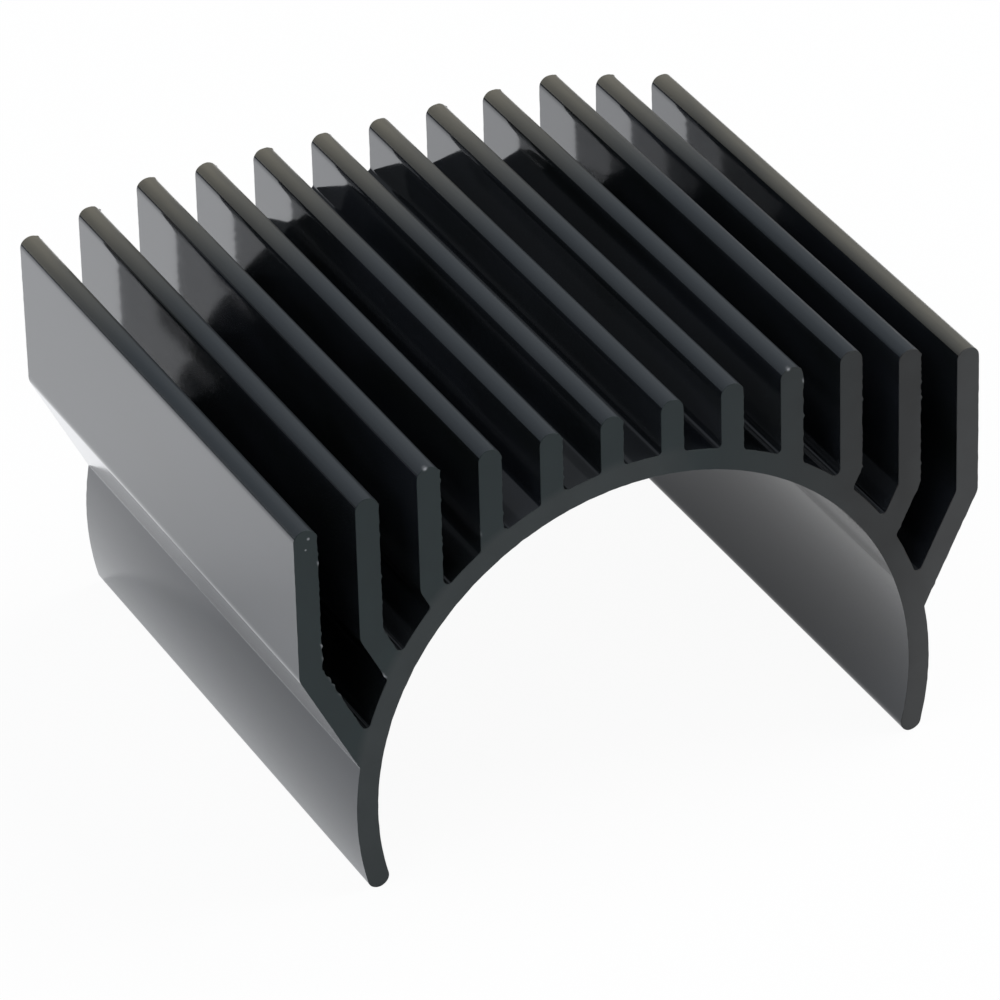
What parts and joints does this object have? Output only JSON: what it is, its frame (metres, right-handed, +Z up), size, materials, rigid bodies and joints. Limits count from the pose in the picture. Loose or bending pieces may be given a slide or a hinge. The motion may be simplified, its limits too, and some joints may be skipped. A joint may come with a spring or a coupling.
{
  "type": "motor heat sink",
  "caption": "Clip-on finned heat sink for a round motor can: a black anodised aluminium extrusion with an open round seat, gripping arms and upright fins.",
  "frame": {"origin": "on the axis of the round motor seat, at the middle of the extrusion's length", "axes": "+X across the fins, +Y along the motor's axis, +Z up from the motor towards the fin tips"},
  "size_m": [0.0454, 0.04, 0.0281],
  "materials": {
    "anodised_aluminium": "satin black anodised, sawn at both ends"
  },
  "bodies": {
    "root": {"heat_sink": "anodised_aluminium"}
  },
  "joints": []
}
